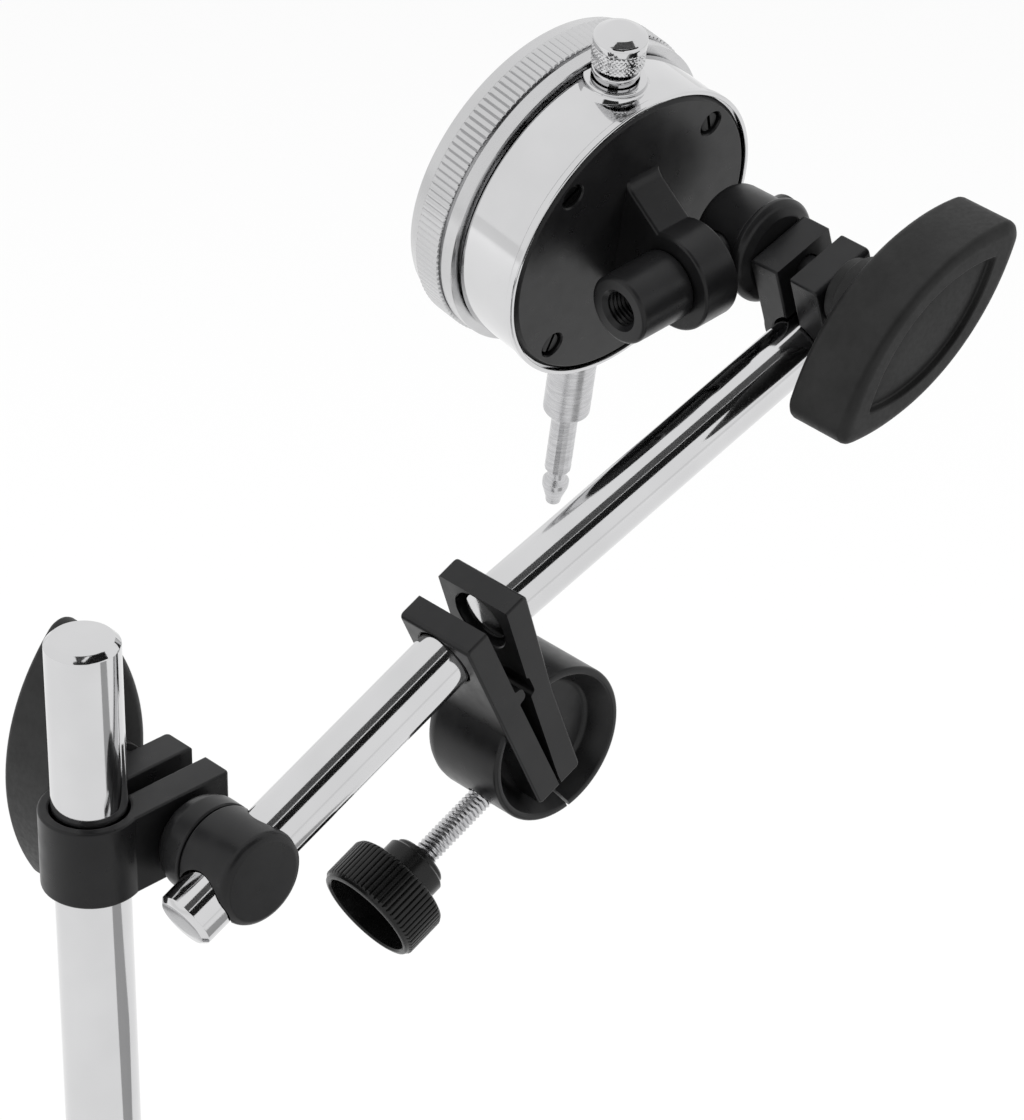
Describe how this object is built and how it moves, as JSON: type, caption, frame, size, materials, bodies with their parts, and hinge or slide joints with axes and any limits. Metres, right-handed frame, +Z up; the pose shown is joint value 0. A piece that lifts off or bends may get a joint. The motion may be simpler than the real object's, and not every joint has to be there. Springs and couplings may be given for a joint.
{
  "type": "dial indicator with magnetic base",
  "caption": "Plunger dial indicator on a jointed two-rod arm with a fine adjuster, clamped to a post on a switchable magnetic base.",
  "frame": {"origin": "middle of the base's front foot strip, on the surface the base stands on", "axes": "+Z up along the post, +X along the arm and towards the base's knob, +Y away from the picture's viewer"},
  "size_m": [0.1681, 0.0812, 0.2921],
  "materials": {
    "ground_iron": "ground faces, sides lightly polished",
    "spacer_aluminium": "machined",
    "black_paint": "satin black paint on die-cast metal",
    "black_plastic": "fine moulded grain",
    "chrome": "bright plated",
    "satin_chrome": "plated, ribbed rim",
    "steel": "ground steel",
    "magnet_core": "dull grey",
    "brass": "machined",
    "dial_white": "matte white print",
    "hand_black": "black hands",
    "crystal_glass": "clear crystal"
  },
  "bodies": {
    "base": {"base_front_pole": "ground_iron", "base_rear_pole": "ground_iron", "base_upper_spacer": "spacer_aluminium", "base_lower_spacer": "spacer_aluminium", "base_knob_cover": "black_paint", "base_end_cover": "black_paint", "base_knob_cover_screw_1": "steel", "base_knob_cover_screw_2": "steel", "base_end_cover_screw_1": "steel", "base_end_cover_screw_2": "steel"},
    "magnet_switch": {"magnet_rotor": "magnet_core", "switch_knob": "black_plastic"},
    "post": {"post": "chrome"},
    "lower_clamp": {"lower_collar": "black_paint"},
    "lower_wing": {"lower_wing_knob": "black_plastic"},
    "lower_head": {"lower_eye_bolt": "black_paint", "lower_washer": "black_paint"},
    "inner_rod": {"rod_1": "chrome"},
    "adjuster": {"adjuster_left_half": "black_paint"},
    "adjuster_turner": {"adjuster_screw": "steel", "adjuster_knob": "black_plastic"},
    "adjuster_jaw": {"adjuster_right_half": "black_paint"},
    "outer_rod": {"rod_2": "chrome"},
    "upper_clamp": {"upper_collar": "black_paint"},
    "upper_wing": {"upper_wing_knob": "black_plastic"},
    "upper_head": {"upper_eye_bolt": "black_paint", "upper_washer": "black_paint"},
    "lug_pin": {"lug_pin": "black_paint", "sleeve_nut": "black_paint"},
    "indicator": {"indicator_case": "chrome", "back_cover": "black_paint", "back_cover_screw_1": "steel", "back_cover_screw_2": "steel", "back_cover_screw_3": "steel", "back_cover_screw_4": "steel", "stem": "steel", "cap_tube": "chrome", "movement_rear_plate": "brass", "movement_front_plate": "brass", "spindle_guide": "brass", "hairspring": "steel", "return_spring": "steel", "dial_centre": "dial_white"},
    "bezel": {"bezel": "satin_chrome", "crystal": "crystal_glass", "dial_ring": "dial_white", "dial_spacer": "spacer_aluminium"},
    "spindle": {"spindle": "steel", "guide_pin": "steel", "contact_point": "steel", "lifting_cap": "chrome"},
    "rack_wheel": {"rack_wheel": "brass", "counter_hand": "hand_black"},
    "pointer": {"centre_pinion": "brass", "pointer": "hand_black"},
    "take_up_wheel": {"take_up_wheel": "brass"}
  },
  "joints": [
    {"name": "magnet_switch_turn", "type": "hinge", "parent": "base", "child": "magnet_switch", "pos_m": [0, 0.018, 0.028], "axis": [1, 0, 0], "range_deg": [0, 90]},
    {"name": "post_turn", "type": "hinge", "parent": "base", "child": "post", "pos_m": [-0.018, 0.018, 0.055], "axis": [0, 0, 1], "continuous": true},
    {"name": "lower_clamp_slide", "type": "slide", "parent": "post", "child": "lower_clamp", "axis": [0, 0, 1], "range_m": [-0.088, 0.028]},
    {"name": "lower_wing_turn", "type": "hinge", "parent": "lower_clamp", "child": "lower_wing", "pos_m": [-0.00517, 0.018, 0.1935], "axis": [0, 1, 0], "range_deg": [-30, 150]},
    {"name": "arm_lift", "type": "hinge", "parent": "lower_clamp", "child": "lower_head", "pos_m": [-0.00517, 0.018, 0.1935], "axis": [0, -1, 0], "range_deg": [-40, 50]},
    {"name": "inner_rod_slide", "type": "slide", "parent": "lower_head", "child": "inner_rod", "axis": [0.912, 0, 0.4102], "range_m": [-0.025, 0.003]},
    {"name": "arm_roll", "type": "hinge", "parent": "inner_rod", "child": "adjuster", "pos_m": [-0.00517, -0.00216, 0.1935], "axis": [0.912, 0, 0.4102], "range_deg": [-30, 30]},
    {"name": "fine_adjust", "type": "hinge", "parent": "adjuster", "child": "adjuster_jaw", "pos_m": [0.0585, -0.00216, 0.18201], "axis": [0, 1, 0], "range_deg": [-3, 1.5]},
    {"name": "adjuster_knob_turn", "type": "hinge", "parent": "adjuster", "child": "adjuster_turner", "pos_m": [0.00738, -0.00216, 0.16559], "axis": [0.912, 0, 0.4102], "range_deg": [-60, 30]},
    {"name": "outer_rod_roll", "type": "hinge", "parent": "adjuster_jaw", "child": "outer_rod", "pos_m": [0.04627, -0.00216, 0.21664], "axis": [0.9519, 0, 0.3065], "range_deg": [-25, 25]},
    {"name": "upper_clamp_slide", "type": "slide", "parent": "outer_rod", "child": "upper_clamp", "axis": [0.9519, 0, 0.3065], "range_m": [-0.045, 0.001]},
    {"name": "upper_wing_turn", "type": "hinge", "parent": "upper_clamp", "child": "upper_wing", "pos_m": [0.1181, -0.00259, 0.25163], "axis": [0.0118, -0.9993, -0.0365], "range_deg": [-30, 150]},
    {"name": "indicator_swing", "type": "hinge", "parent": "upper_clamp", "child": "upper_head", "pos_m": [0.1181, -0.00259, 0.25163], "axis": [0.0118, -0.9993, -0.0365], "range_deg": [-30, 30]},
    {"name": "lug_pin_slide", "type": "slide", "parent": "upper_head", "child": "lug_pin", "axis": [0.9975, 0.0092, 0.0706], "range_m": [-0.003, 0.0003]},
    {"name": "indicator_tilt", "type": "hinge", "parent": "lug_pin", "child": "indicator", "pos_m": [0.11793, 0.01192, 0.25216], "axis": [0.9975, 0.0092, 0.0706], "range_deg": [-15, 15]},
    {"name": "bezel_turn", "type": "hinge", "parent": "indicator", "child": "bezel", "pos_m": [0.10231, 0.02332, 0.25402], "axis": [-0.024, 0.977, 0.2118], "continuous": true},
    {"name": "spindle_travel", "type": "slide", "parent": "indicator", "child": "spindle", "axis": [-0.0671, -0.213, 0.9748], "range_m": [0, 0.01], "stiffness_N_per_m": 40, "springref_m": -0.015, "deforming": ["return_spring"]},
    {"name": "rack_wheel_turn", "type": "hinge", "parent": "indicator", "child": "rack_wheel", "pos_m": [0.10484, 0.02111, 0.2645], "axis": [-0.024, 0.977, 0.2118], "range_deg": [-5, 365]},
    {"name": "pointer_turn", "type": "hinge", "parent": "indicator", "child": "pointer", "pos_m": [0.10231, 0.02332, 0.25402], "axis": [-0.024, 0.977, 0.2118], "range_deg": [-3605, 5]},
    {"name": "take_up_turn", "type": "hinge", "parent": "indicator", "child": "take_up_wheel", "pos_m": [0.09978, 0.02553, 0.24355], "axis": [-0.024, 0.977, 0.2118], "range_deg": [-5, 365]}
  ],
  "couplings": [
    {"joint": "adjuster_knob_turn", "follows": "fine_adjust", "ratio": 20},
    {"joint": "rack_wheel_turn", "follows": "spindle_travel", "rad_per_m": 628.32},
    {"joint": "pointer_turn", "follows": "spindle_travel", "rad_per_m": -6283.2},
    {"joint": "take_up_turn", "follows": "spindle_travel", "rad_per_m": 628.32}
  ]
}
